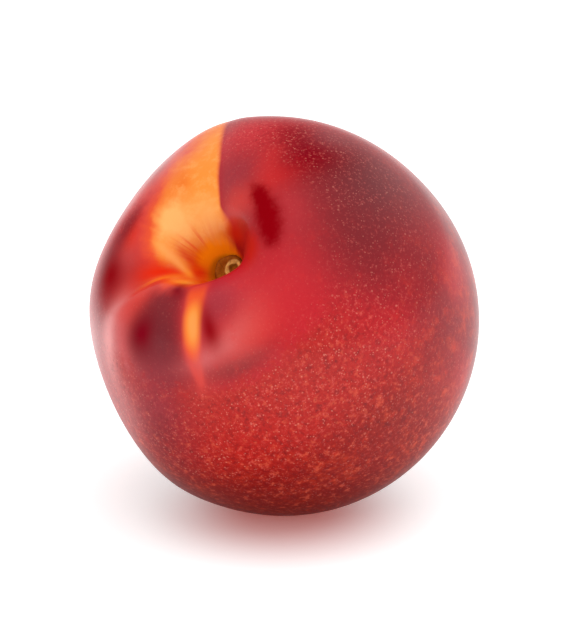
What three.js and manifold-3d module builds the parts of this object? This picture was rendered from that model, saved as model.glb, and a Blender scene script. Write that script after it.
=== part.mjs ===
// A whole ripe nectarine and the dry end of its stalk, lying on one cheek as picked.
//
// Units are millimetres. +Z is up and the fruit rests on z = 0, on a small flat spot that
// its own weight presses into it. The origin is on that surface, under the middle of the
// fruit.
//
// The fruit is shaped in a frame of its own: its centre is the origin, its stem end points
// along +Z, and the suture, the seam that runs from the stem to the tip, is on the +X side.
// A place on the skin is two angles there: polar, counted from the stem end, and turn,
// counted round the stem from the suture. The finished shape is then turned and lowered
// into its resting attitude.
import * as THREE from "three";
import { mergeVertices } from "three/addons/utils/BufferGeometryUtils.js";
import Module from "manifold-3d";

const wasm = await Module();
wasm.setup();

// ---------------------------------------------------------------- driving dimensions

// Body, measured from the centre of the fruit.
const CHEEK_RADIUS = 34.4; // to the skin at the widest girth
const STEM_HEIGHT = 34.0; // to the stem end, if it had no hollow
const TIP_HEIGHT = 33.0; // to the tip end, without its point
const FULLNESS = 2.25; // 2 is an ellipsoid, more gives squarer shoulders

// Hollow round the stalk.
const HOLLOW_DEPTH = 12.0;
const HOLLOW_REACH = 10.9; // polar angle, in degrees, where it is half as deep
const HOLLOW_LEAN = 0.275; // share by which it opens wider on one side
const HOLLOW_LEAN_TURN = 8; // the turn of that side, in degrees
const HOLLOW_POWER = 5.8; // more gives a flatter floor and a steeper wall
const HOLLOW_EASE = 3.2; // how much less that is on the side where the wall is gentlest
const HOLLOW_EASE_TURN = 22; // the turn of the gentlest wall, in degrees

// Point at the tip end.
const POINT_RISE = 1.7;
const POINT_SPREAD = 7.5; // degrees

// Folds that run out of the hollow. Each leaves it at one turn and bends towards another,
// the quicker the smaller its settling angle is. It is deepest between full and fade, and
// has a half width below its line, at smaller turns, and another above it. Angles are in
// degrees, depth and half widths in millimetres.
const SUTURE = {
  turn: -18, lastTurn: 10, settle: 34,
  start: 8, full: 24, fade: 38, end: 80,
  depth: 0.7, below: 2.2, above: 6,
};
const DEEP_CREASE = {
  turn: 101, lastTurn: 104, settle: 20,
  start: 8, full: 14, fade: 20, end: 42,
  depth: 1.7, below: 4.5, above: 2.0,
};
const LONG_CREASE = {
  turn: 173, lastTurn: 168.5, settle: 6,
  start: 10, full: 24, fade: 28, end: 50,
  depth: 1.4, below: 2.8, above: 3.0,
};
const LOWER_PLEAT = {
  turn: 98, lastTurn: 86, settle: 8,
  start: 9, full: 15, fade: 19, end: 30,
  depth: 0.7, below: 1.6, above: 1.6,
};
const UPPER_PLEAT = {
  turn: 86, lastTurn: 48, settle: 9,
  start: 8, full: 12, fade: 14, end: 20,
  depth: 0.5, below: 1.2, above: 1.2,
};
const CREASES = [SUTURE, DEEP_CREASE, LONG_CREASE, LOWER_PLEAT, UPPER_PLEAT];

// Broad swells and flats of the flesh: polar and turn of the middle and angular spread in
// degrees, rise in millimetres.
const SWELLS = [
  { polar: 20, turn: 178, spread: 17, rise: 2.0 },
  { polar: 14, turn: 248, spread: 7, rise: -2.0 },
  { polar: 26, turn: 215, spread: 16, rise: 0.6 },
  { polar: 24, turn: 305, spread: 12, rise: 0.6 },
  { polar: 32, turn: 126, spread: 14, rise: 0.8 },
  { polar: 62, turn: 350, spread: 16, rise: 0.2 },
  { polar: 64, turn: 8, spread: 11, rise: 0.8 },
  { polar: 60, turn: 55, spread: 27, rise: -2.3 },
  { polar: 76, turn: 106, spread: 26, rise: -2.5 },
  { polar: 94, turn: 140, spread: 14, rise: 0.5 },
];

// Resting attitude, in degrees.
const STEM_TILT = 37; // of the stem end above the horizon
const STEM_HEADING = -119.6; // of the stem end in plan, from +X
const SUTURE_ROLL = 20; // of the suture round the stem, from straight up
const FLAT_DEPTH = 0.8; // how far the flat spot is pressed in

// End of the stalk, a woody plug seated in a socket at the bottom of the hollow. Both are
// turned about the fruit's centre, a little off the stem axis.
const STALK_RADIUS = 2.9;
const STALK_LENGTH = 3.2;
const STALK_SUNK = 1.4; // length of it that is under the skin
const STALK_LEAN = 2.2; // degrees off the stem axis
const STALK_LEAN_TURN = 275; // towards this turn
const SEAT_GAP = 0.3; // all round the plug, between wood and flesh
const SOCKET_RISE = 4; // how far the socket's bore goes on above the hollow's floor

// Facets.
const FRUIT_SEGMENTS = 80;
const FRUIT_RINGS = 64;
const RING_CROWDING = 0.7; // how much closer together the rings are at both ends
const STALK_SEGMENTS = 24;

// ---------------------------------------------------------------- shape of the skin

const radians = THREE.MathUtils.degToRad;

// Unit vector towards a place on the skin, from its two angles in radians.
function direction(polar, turn) {
  return new THREE.Vector3(
    Math.sin(polar) * Math.cos(turn),
    Math.sin(polar) * Math.sin(turn),
    Math.cos(polar),
  );
}

// 0 below low, 1 above high, with a smooth step between them.
const smoothstep = THREE.MathUtils.smoothstep;

function bodyRadius(polar) {
  const height = polar < Math.PI / 2 ? STEM_HEIGHT : TIP_HEIGHT;
  const across = Math.pow(Math.sin(polar) / CHEEK_RADIUS, FULLNESS);
  const along = Math.pow(Math.abs(Math.cos(polar)) / height, FULLNESS);
  return Math.pow(across + along, -1 / FULLNESS);
}

function hollowDepth(polar, turn) {
  const lean = Math.cos(turn - radians(HOLLOW_LEAN_TURN));
  const ease = Math.cos(turn - radians(HOLLOW_EASE_TURN));
  const reach = radians(HOLLOW_REACH) * (1 + HOLLOW_LEAN * lean);
  return HOLLOW_DEPTH / (1 + Math.pow(polar / reach, HOLLOW_POWER - HOLLOW_EASE * ease));
}

// Turn of a fold's line, in degrees, at a polar angle in degrees.
function creaseLine(degrees, { turn, lastTurn, settle, start }) {
  return lastTurn + (turn - lastTurn) * Math.exp(-Math.max(degrees - start, 0) / settle);
}

// Depth of a fold at a place on the skin.
function creaseDepth(polar, turn, crease) {
  const degrees = THREE.MathUtils.radToDeg(polar);
  const apart = turn - radians(creaseLine(degrees, crease));
  const away = CHEEK_RADIUS * Math.sin(polar) * Math.atan2(Math.sin(apart), Math.cos(apart));
  const side = away / (away > 0 ? crease.above : crease.below);
  const begun = smoothstep(degrees, crease.start, crease.full);
  const left = 1 - smoothstep(degrees, crease.fade, crease.end);
  return crease.depth * begun * left * Math.exp(-side * side);
}

function swellRise(place, { polar, turn, spread, rise }) {
  const angle = place.angleTo(direction(radians(polar), radians(turn)));
  return rise * Math.exp(-Math.pow(angle / radians(spread), 2));
}

// Distance from the centre of the fruit to its skin.
function skinRadius(polar, turn) {
  const place = direction(polar, turn);
  const point = POINT_RISE * Math.exp(-(Math.PI - polar) / radians(POINT_SPREAD));
  const swells = SWELLS.reduce((sum, swell) => sum + swellRise(place, swell), 0);
  const creases = CREASES.reduce((sum, crease) => sum + creaseDepth(polar, turn, crease), 0);
  return bodyRadius(polar) - hollowDepth(polar, turn) - creases + swells + point;
}

// ---------------------------------------------------------------- solids

// Turns from the fruit's own frame to its resting attitude, about the fruit's centre.
function attitude() {
  const tilt = radians(STEM_TILT);
  const heading = radians(STEM_HEADING);
  const stem = direction(Math.PI / 2 - tilt, heading);
  const upright = direction(-tilt, heading);
  const suture = upright.applyAxisAngle(stem, radians(SUTURE_ROLL));
  return new THREE.Matrix4().makeBasis(
    suture,
    new THREE.Vector3().crossVectors(stem, suture),
    stem,
  );
}

function toSolid(geometry) {
  const bare = geometry.clone();
  bare.deleteAttribute("normal");
  bare.deleteAttribute("uv");
  const merged = mergeVertices(bare, 1e-4);
  return new wasm.Manifold(
    new wasm.Mesh({
      numProp: 3,
      vertProperties: new Float32Array(merged.attributes.position.array),
      triVerts: new Uint32Array(merged.index.array),
    }),
  );
}

function toGeometry(solid) {
  const { vertProperties, triVerts } = solid.getMesh();
  const geometry = new THREE.BufferGeometry();
  geometry.setAttribute("position", new THREE.BufferAttribute(vertProperties, 3));
  geometry.setIndex(new THREE.BufferAttribute(triVerts, 1));
  geometry.computeVertexNormals();
  return geometry;
}

// A sphere whose rings crowd towards both ends, with each vertex moved out to the skin.
function skinGeometry() {
  const geometry = new THREE.SphereGeometry(1, FRUIT_SEGMENTS, FRUIT_RINGS);
  geometry.rotateX(Math.PI / 2);
  const position = geometry.attributes.position;
  const vertex = new THREE.Vector3();
  for (let i = 0; i < position.count; i += 1) {
    vertex.fromBufferAttribute(position, i);
    const share = Math.acos(THREE.MathUtils.clamp(vertex.z, -1, 1)) / Math.PI;
    const crowded = share - (RING_CROWDING * Math.sin(2 * Math.PI * share)) / (2 * Math.PI);
    const polar = Math.PI * crowded;
    const turn = Math.atan2(vertex.y, vertex.x);
    vertex.copy(direction(polar, turn)).multiplyScalar(skinRadius(polar, turn));
    position.setXYZ(i, vertex.x, vertex.y, vertex.z);
  }
  return geometry;
}

// Height of the hollow's floor above the fruit's centre, where the stalk comes out.
const stalkFoot = skinRadius(0, 0) - STALK_SUNK;

// Turns the stalk and its socket a little off the stem axis, about the fruit's centre.
function leaning() {
  const across = direction(Math.PI / 2, radians(STALK_LEAN_TURN + 90));
  return new THREE.Matrix4().makeRotationAxis(across, radians(STALK_LEAN));
}

function socketGeometry() {
  const depth = STALK_SUNK + SEAT_GAP + SOCKET_RISE;
  const geometry = new THREE.CylinderGeometry(
    STALK_RADIUS + SEAT_GAP,
    STALK_RADIUS + SEAT_GAP,
    depth,
    STALK_SEGMENTS,
  );
  geometry.rotateX(Math.PI / 2);
  geometry.translate(0, 0, stalkFoot - SEAT_GAP + depth / 2);
  return geometry.applyMatrix4(leaning());
}

// The broken end of the stalk: a rounded foot, a raised woody rim and a sunken pith.
function stalkGeometry() {
  const outline = [
    [0, 0],
    [STALK_RADIUS * 0.8, 0],
    [STALK_RADIUS, STALK_LENGTH * 0.25],
    [STALK_RADIUS * 0.96, STALK_LENGTH * 0.8],
    [STALK_RADIUS * 0.8, STALK_LENGTH],
    [STALK_RADIUS * 0.55, STALK_LENGTH * 0.97],
    [STALK_RADIUS * 0.3, STALK_LENGTH * 0.8],
    [0, STALK_LENGTH * 0.76],
  ];
  const points = outline.map(([x, y]) => new THREE.Vector2(x, y));
  const geometry = new THREE.LatheGeometry(points, STALK_SEGMENTS);
  geometry.rotateX(Math.PI / 2);
  geometry.translate(0, 0, stalkFoot);
  return geometry.applyMatrix4(leaning());
}

// Rests the turned fruit on z = 0, with its flat spot pressed in and its middle over the
// origin.
function restingPlace(turned) {
  turned.computeBoundingBox();
  const { min, max } = turned.boundingBox;
  return new THREE.Matrix4().makeTranslation(
    -(min.x + max.x) / 2,
    -(min.y + max.y) / 2,
    -min.z - FLAT_DEPTH,
  );
}

function belowTheSurface() {
  const size = 4 * CHEEK_RADIUS;
  return new THREE.BoxGeometry(size, size, size).translate(0, 0, -size / 2);
}

// ---------------------------------------------------------------- the part

const skin = skinGeometry();
const turn = attitude();
const rest = restingPlace(skin.clone().applyMatrix4(turn)).multiply(turn);

const fruitSolid = toSolid(skin.applyMatrix4(rest))
  .subtract(toSolid(socketGeometry().applyMatrix4(rest)))
  .subtract(toSolid(belowTheSurface()));

const fruit = new THREE.Mesh(
  toGeometry(fruitSolid),
  new THREE.MeshStandardMaterial({ color: 0x9c1a24, roughness: 0.38, metalness: 0 }),
);
fruit.name = "fruit";

const stalk = new THREE.Mesh(
  stalkGeometry().applyMatrix4(rest),
  new THREE.MeshStandardMaterial({ color: 0x8a6034, roughness: 0.85, metalness: 0 }),
);
stalk.name = "stalk_end";

const nectarine = new THREE.Group();
nectarine.add(fruit, stalk);

export default nectarine;
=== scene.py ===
"""A ripe nectarine and the dry end of its stalk, lying on one cheek on a pale table.

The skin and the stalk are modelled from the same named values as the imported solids, with
a finer surface, and get their colours and gloss here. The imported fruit's box gives the
point that the camera looks at.
"""

import logging
import math
from dataclasses import dataclass, field
from enum import Enum
from typing import TypeAlias

import bmesh
import bpy
from mathutils import Matrix, Vector, noise


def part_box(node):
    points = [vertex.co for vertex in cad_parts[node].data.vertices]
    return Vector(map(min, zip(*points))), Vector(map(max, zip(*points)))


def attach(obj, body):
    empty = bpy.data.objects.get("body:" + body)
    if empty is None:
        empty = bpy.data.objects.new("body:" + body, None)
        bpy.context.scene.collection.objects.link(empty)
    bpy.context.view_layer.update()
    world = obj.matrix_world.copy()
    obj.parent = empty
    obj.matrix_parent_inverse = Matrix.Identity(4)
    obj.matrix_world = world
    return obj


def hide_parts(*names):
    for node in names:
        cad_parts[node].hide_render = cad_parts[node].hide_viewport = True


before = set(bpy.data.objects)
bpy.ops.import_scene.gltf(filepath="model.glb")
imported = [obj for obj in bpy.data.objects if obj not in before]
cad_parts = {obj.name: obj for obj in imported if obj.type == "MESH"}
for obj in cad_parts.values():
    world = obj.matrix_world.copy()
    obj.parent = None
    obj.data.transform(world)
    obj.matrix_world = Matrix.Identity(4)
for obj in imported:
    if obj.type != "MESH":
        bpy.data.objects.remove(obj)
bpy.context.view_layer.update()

LOG = logging.getLogger("nectarine")

MM = 0.001
DEGREE = math.radians(1)
MEAN_RADIUS = 34.0  # of the fruit in millimetres, for lengths along its skin
LEAST_GIRTH = 0.01  # in millimetres, so that nothing is divided by zero on the stem's axis
LEAST_DOT = 0.02  # radius of the smallest dot, as a share of a cell
DOT_CORE = 0.4  # share of a dot's radius that is solid
MIX_SHARE, MIX_UNDER, MIX_OVER, MIX_RESULT = 0, 6, 7, 2  # the Mix node's sockets

Colour: TypeAlias = tuple[float, ...]
Socket: TypeAlias = bpy.types.NodeSocket
Number: TypeAlias = "Value | float"
Band: TypeAlias = tuple[float, float]  # where a change starts and where it is complete

# ---- small helpers


def smoothstep(value: float, low: float, high: float) -> float:
    """Step smoothly from 0 at low to 1 at high.

    Args:
        value: The number to grade.
        low: Where the step starts.
        high: Where the step ends.

    Returns:
        A number from 0 to 1.
    """
    share = min(max((value - low) / (high - low), 0.0), 1.0)
    return share * share * (3 - 2 * share)


def direction(polar: float, turn: float) -> Vector:
    """Give the unit vector towards a place on the skin.

    Args:
        polar: Angle from the stem end, in radians.
        turn: Angle round the stem from the suture, in radians.

    Returns:
        The unit vector in the fruit's own frame.
    """
    across = math.sin(polar)
    return Vector((across * math.cos(turn), across * math.sin(turn), math.cos(polar)))


def linear(red: int, green: int, blue: int) -> Colour:
    """Turn a screen colour into the linear one that shaders use.

    Args:
        red: Red from 0 to 255.
        green: Green from 0 to 255.
        blue: Blue from 0 to 255.

    Returns:
        Linear red, green, blue and an alpha of 1.
    """

    def channel(level: int) -> float:
        """Undo the screen's transfer curve for one channel."""
        share = level / 255
        return share / 12.92 if share <= 0.04045 else ((share + 0.055) / 1.055) ** 2.4

    return (channel(red), channel(green), channel(blue), 1.0)


# ---- form of the fruit


@dataclass(frozen=True)
class Crease:
    """A fold that runs out of the hollow, with a steep side and a gentle side.

    Angles are in degrees and lengths in millimetres. The line leaves the hollow at one turn
    and bends towards another, the quicker the smaller its settling angle is. It is deepest
    between full and fade.
    """

    turn: float
    last_turn: float
    settle: float
    start: float
    full: float
    fade: float
    end: float
    depth: float
    below: float
    above: float

    def line(self, polar: float) -> float:
        """Give the turn of the fold's line, in degrees, at a polar angle in degrees."""
        left = math.exp(-max(polar - self.start, 0.0) / self.settle)
        return self.last_turn + (self.turn - self.last_turn) * left

    def depth_at(self, polar: float, turn: float, girth: float) -> float:
        """Give how deep the fold is at a place on the skin.

        Args:
            polar: Angle from the stem end, in degrees.
            turn: Angle round the stem from the suture, in radians.
            girth: Distance of the place from the stem's axis, in millimetres.

        Returns:
            The depth in millimetres.
        """
        apart = turn - math.radians(self.line(polar))
        side = girth * math.atan2(math.sin(apart), math.cos(apart))
        side /= self.above if side > 0 else self.below
        begun = smoothstep(polar, self.start, self.full)
        left = 1 - smoothstep(polar, self.fade, self.end)
        return self.depth * begun * left * math.exp(-side * side)


@dataclass(frozen=True)
class Swell:
    """A broad swell of the flesh, or a flat where its rise is below zero."""

    polar: float
    turn: float
    spread: float
    rise: float

    def rise_at(self, place: Vector) -> float:
        """Give how far the swell lifts the skin at a place.

        Args:
            place: Unit vector towards the place.

        Returns:
            The rise in millimetres.
        """
        middle = direction(math.radians(self.polar), math.radians(self.turn))
        share = place.angle(middle, 0.0) / math.radians(self.spread)
        return self.rise * math.exp(-share * share)


SUTURE, FRONT_CREASE = 0, 2  # places among the fruit's creases


@dataclass
class Fruit:
    """The form of the fruit and its resting attitude, in millimetres and degrees."""

    cheek_radius: float = 34.4
    stem_height: float = 34.0
    tip_height: float = 33.0
    fullness: float = 2.25
    hollow_depth: float = 12.0
    hollow_reach: float = 10.9
    hollow_power: float = 5.8
    hollow_lean: float = 0.275
    hollow_ease: float = 3.2
    hollow_lean_turn: float = 8.0
    hollow_ease_turn: float = 22.0
    point_rise: float = 1.7
    point_spread: float = 7.5
    creases: tuple[Crease, ...] = (
        Crease(-18, 10, 34, start=8, full=24, fade=38, end=80, depth=0.7, below=2.2, above=6),
        Crease(101, 104, 20, start=8, full=14, fade=20, end=42, depth=1.7, below=4.5, above=2.0),
        Crease(173, 168.5, 6, start=10, full=24, fade=28, end=50, depth=1.4, below=2.8, above=3.0),
        Crease(98, 86, 8, start=9, full=15, fade=19, end=30, depth=0.7, below=1.6, above=1.6),
        Crease(86, 48, 9, start=8, full=12, fade=14, end=20, depth=0.5, below=1.2, above=1.2),
    )
    swells: tuple[Swell, ...] = (
        Swell(polar=20, turn=178, spread=17, rise=2.0),
        Swell(polar=14, turn=248, spread=7, rise=-2.0),
        Swell(polar=26, turn=215, spread=16, rise=0.6),
        Swell(polar=24, turn=305, spread=12, rise=0.6),
        Swell(polar=32, turn=126, spread=14, rise=0.8),
        Swell(polar=62, turn=350, spread=16, rise=0.2),
        Swell(polar=64, turn=8, spread=11, rise=0.8),
        Swell(polar=60, turn=55, spread=27, rise=-2.3),
        Swell(polar=76, turn=106, spread=26, rise=-2.5),
        Swell(polar=94, turn=140, spread=14, rise=0.5),
    )
    stem_tilt: float = 37.0
    stem_heading: float = -119.6
    suture_roll: float = 20.0
    flat_depth: float = 0.8
    segments: int = 240
    rings: int = 160
    crowding: float = 0.55

    def body_radius(self, polar: float) -> float:
        """Give the radius of the plain body, with no hollow or groove.

        Args:
            polar: Angle from the stem end, in radians.

        Returns:
            The distance from the centre in millimetres.
        """
        height = self.stem_height if polar < math.pi / 2 else self.tip_height
        across = (math.sin(polar) / self.cheek_radius) ** self.fullness
        along = (abs(math.cos(polar)) / height) ** self.fullness
        return (across + along) ** (-1 / self.fullness)

    def hollow(self, polar: float, turn: float) -> float:
        """Give the depth of the stalk's hollow.

        Args:
            polar: Angle from the stem end, in radians.
            turn: Angle round the stem from the suture, in radians.

        Returns:
            The depth in millimetres.
        """
        lean = math.cos(turn - math.radians(self.hollow_lean_turn))
        ease = math.cos(turn - math.radians(self.hollow_ease_turn))
        reach = math.radians(self.hollow_reach) * (1 + self.hollow_lean * lean)
        power = self.hollow_power - self.hollow_ease * ease
        return self.hollow_depth / (1 + (polar / reach) ** power)

    def radius(self, polar: float, turn: float) -> float:
        """Give the distance from the fruit's centre to its skin.

        Args:
            polar: Angle from the stem end, in radians.
            turn: Angle round the stem from the suture, in radians.

        Returns:
            The distance in millimetres.
        """
        place = direction(polar, turn)
        degrees = math.degrees(polar)
        girth = self.cheek_radius * math.sin(polar)
        point = self.point_rise * math.exp(-(math.pi - polar) / math.radians(self.point_spread))
        return (
            self.body_radius(polar)
            - self.hollow(polar, turn)
            - sum(crease.depth_at(degrees, turn, girth) for crease in self.creases)
            + sum(swell.rise_at(place) for swell in self.swells)
            + point
        )

    def attitude(self) -> Matrix:
        """Work out how the fruit lies.

        Returns:
            The turn from the fruit's own frame to its resting attitude.
        """
        tilt, heading = math.radians(self.stem_tilt), math.radians(self.stem_heading)
        stem = direction(math.pi / 2 - tilt, heading)
        upright = direction(-tilt, heading)
        suture = Matrix.Rotation(math.radians(self.suture_roll), 3, stem) @ upright
        return Matrix((suture, stem.cross(suture), stem)).transposed().to_4x4()

    def polar_of(self, share: float) -> float:
        """Give the polar angle of a ring, with the rings crowded towards both ends."""
        return math.pi * share - self.crowding * math.sin(2 * math.pi * share) / 2

    def skin(self) -> bmesh.types.BMesh:
        """Model the skin.

        Returns:
            The closed mesh in the fruit's own frame, in millimetres.
        """
        mesh = bmesh.new()
        bmesh.ops.create_uvsphere(mesh, u_segments=self.segments, v_segments=self.rings, radius=1)
        for vertex in mesh.verts:
            share = math.acos(min(max(vertex.co.z, -1), 1)) / math.pi
            polar, turn = self.polar_of(share), math.atan2(vertex.co.y, vertex.co.x)
            vertex.co = direction(polar, turn) * self.radius(polar, turn)
        return mesh


@dataclass
class Rest:
    """The place of the fruit in the row frame, centred over the origin."""

    attitude: Matrix
    centre: Vector = field(default_factory=Vector)

    def settle(self, mesh: bmesh.types.BMesh, flat_depth: float) -> None:
        """Find the centre's place from the turned skin's own box.

        Args:
            mesh: The skin in the fruit's own frame, in millimetres.
            flat_depth: How far the flat spot is pressed in, in millimetres.
        """
        turned = [self.attitude @ vertex.co for vertex in mesh.verts]
        low = Vector([min(place[axis] for place in turned) for axis in range(3)])
        high = Vector([max(place[axis] for place in turned) for axis in range(3)])
        self.centre = Vector(
            (-(low.x + high.x) / 2, -(low.y + high.y) / 2, -low.z - flat_depth)
        )

    def matrix(self) -> Matrix:
        """Give the whole move, from the fruit's own millimetres to row metres."""
        return Matrix.Scale(MM, 4) @ Matrix.Translation(self.centre) @ self.attitude


@dataclass
class StalkEnd:
    """The broken end of the stalk, a woody plug at the bottom of the hollow.

    Its half outline runs from foot to pith, as shares of the radius and the length.
    """

    radius: float = 2.9
    length: float = 3.2
    sunk: float = 1.4
    lean: float = 2.2
    lean_turn: float = 275.0
    end_height: float = 24.0
    segments: int = 72
    roughness: float = 0.14
    smooth_core: float = 0.1
    fibre_ridges: float = 2.6
    fibre_drift: float = 0.5
    rim_ridges: float = 0.9
    rim_rise: float = 2.2
    seed: float = 7.3
    outline: tuple[tuple[float, float], ...] = (
        (0.80, 0.0), (0.97, 0.12), (1.0, 0.3), (0.99, 0.5),
        (0.98, 0.7), (0.95, 0.85), (0.9, 0.94), (0.82, 1.0),
        (0.7, 1.0), (0.6, 0.95), (0.52, 0.86), (0.44, 0.83),
        (0.36, 0.86), (0.28, 0.86), (0.18, 0.78), (0.08, 0.74),
    )

    def plug(self, foot: float) -> bmesh.types.BMesh:
        """Model the plug in the fruit's own frame, in millimetres.

        Args:
            foot: Height of the plug's foot above the fruit's centre.

        Returns:
            The closed mesh.
        """
        mesh = bmesh.new()
        outline = [mesh.verts.new((r * self.radius, 0, z * self.length)) for r, z in self.outline]
        edges = [mesh.edges.new(pair) for pair in zip(outline, outline[1:])]
        bmesh.ops.spin(
            mesh,
            geom=outline + edges,
            cent=(0, 0, 0),
            axis=(0, 0, 1),
            angle=2 * math.pi,
            steps=self.segments,
            use_merge=True,
        )
        bmesh.ops.holes_fill(mesh, edges=mesh.edges, sides=self.segments)
        bmesh.ops.recalc_face_normals(mesh, faces=mesh.faces)
        for vertex in mesh.verts:
            self.roughen(vertex)
        bmesh.ops.translate(mesh, verts=mesh.verts, vec=(0, 0, foot))
        bmesh.ops.rotate(mesh, verts=mesh.verts, matrix=self.leaning())
        return mesh

    def shift(self) -> Vector:
        """Give how far off the stem axis the broken end is, in millimetres."""
        return self.leaning() @ Vector((0, 0, self.end_height))

    def leaning(self) -> Matrix:
        """Give the turn about the fruit's centre that sets the stalk off the stem axis."""
        across = direction(math.pi / 2, math.radians(self.lean_turn + 90))
        return Matrix.Rotation(math.radians(self.lean), 3, across)

    def roughen(self, vertex: bmesh.types.BMVert) -> None:
        """Push one vertex in or out, in ridges along the fibres and a ragged rim.

        Args:
            vertex: The vertex, with the plug's foot at a height of zero.
        """
        away = Vector((vertex.co.x, vertex.co.y, 0))
        height = vertex.co.z / self.length
        if away.length < self.smooth_core:
            return
        drift = Vector((self.seed, 0, self.fibre_drift * vertex.co.z))
        ragged = noise.noise(away.normalized() * self.fibre_ridges + drift) * self.roughness
        vertex.co += away.normalized() * ragged * smoothstep(height, 0.1, 0.4)
        rim = noise.noise(away * self.rim_ridges + Vector((0, self.seed, 0)))
        vertex.co.z += rim * self.rim_rise * self.roughness * smoothstep(height, 0.6, 1.0)


# ---- shader maths


class Kind(Enum):
    """The node types that the finishes use."""

    MATH = "ShaderNodeMath"
    MIX = "ShaderNodeMix"
    RANGE = "ShaderNodeMapRange"
    MAPPING = "ShaderNodeMapping"
    COORDINATES = "ShaderNodeTexCoord"
    SEPARATE = "ShaderNodeSeparateXYZ"
    COMBINE = "ShaderNodeCombineXYZ"
    NOISE = "ShaderNodeTexNoise"
    VORONOI = "ShaderNodeTexVoronoi"
    BUMP = "ShaderNodeBump"
    SHADER = "ShaderNodeBsdfPrincipled"
    OUTPUT = "ShaderNodeOutputMaterial"
    BACKGROUND = "ShaderNodeBackground"
    WORLD_OUTPUT = "ShaderNodeOutputWorld"


@dataclass(frozen=True)
class Value:
    """A socket that carries a number, with Python's operators on it."""

    graph: "Graph"
    socket: Socket

    def apply(self, operation: str, *others: Number) -> "Value":
        """Add one Math node.

        Args:
            operation: The node's operation.
            others: What goes in after this value.

        Returns:
            The node's result.
        """
        return self.graph.math(operation, self, *others)

    def __add__(self, other: Number) -> "Value":
        """Add."""
        return self.apply("ADD", other)

    def __radd__(self, other: float) -> "Value":
        """Add to a number."""
        return self.graph.math("ADD", other, self)

    def __sub__(self, other: Number) -> "Value":
        """Subtract."""
        return self.apply("SUBTRACT", other)

    def __rsub__(self, other: float) -> "Value":
        """Subtract from a number."""
        return self.graph.math("SUBTRACT", other, self)

    def __mul__(self, other: Number) -> "Value":
        """Multiply."""
        return self.apply("MULTIPLY", other)

    def __rmul__(self, other: float) -> "Value":
        """Multiply a number."""
        return self.graph.math("MULTIPLY", other, self)

    def __truediv__(self, other: Number) -> "Value":
        """Divide."""
        return self.apply("DIVIDE", other)

    def __pow__(self, other: Number) -> "Value":
        """Raise to a power."""
        return self.apply("POWER", other)

    def __neg__(self) -> "Value":
        """Change the sign."""
        return self.apply("MULTIPLY", -1.0)

    def at_most(self, other: Number) -> "Value":
        """Give the smaller of the two."""
        return self.apply("MINIMUM", other)

    def at_least(self, other: Number) -> "Value":
        """Give the larger of the two."""
        return self.apply("MAXIMUM", other)

    def step(self, low: Number, high: Number) -> "Value":
        """Step smoothly from 0 at low to 1 at high."""
        return self.graph.step(self, low, high)

    def drop(self, low: Number, high: Number) -> "Value":
        """Drop smoothly from 1 at low to 0 at high."""
        return 1 - self.step(low, high)

    def hump(self, middle: Number, width: Number) -> "Value":
        """Give a bell that is 1 at middle and falls to 0.37 at width from it."""
        share = (self - middle) / width
        return (-(share * share)).apply("EXPONENT")

    def swing(self, reach: Number) -> "Value":
        """Make a noise, which lies round a half, swing round zero."""
        return (self - 0.5) * reach


def length(x: Value, y: Value) -> Value:
    """Give the length of a flat vector."""
    return (x * x + y * y) ** 0.5


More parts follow.
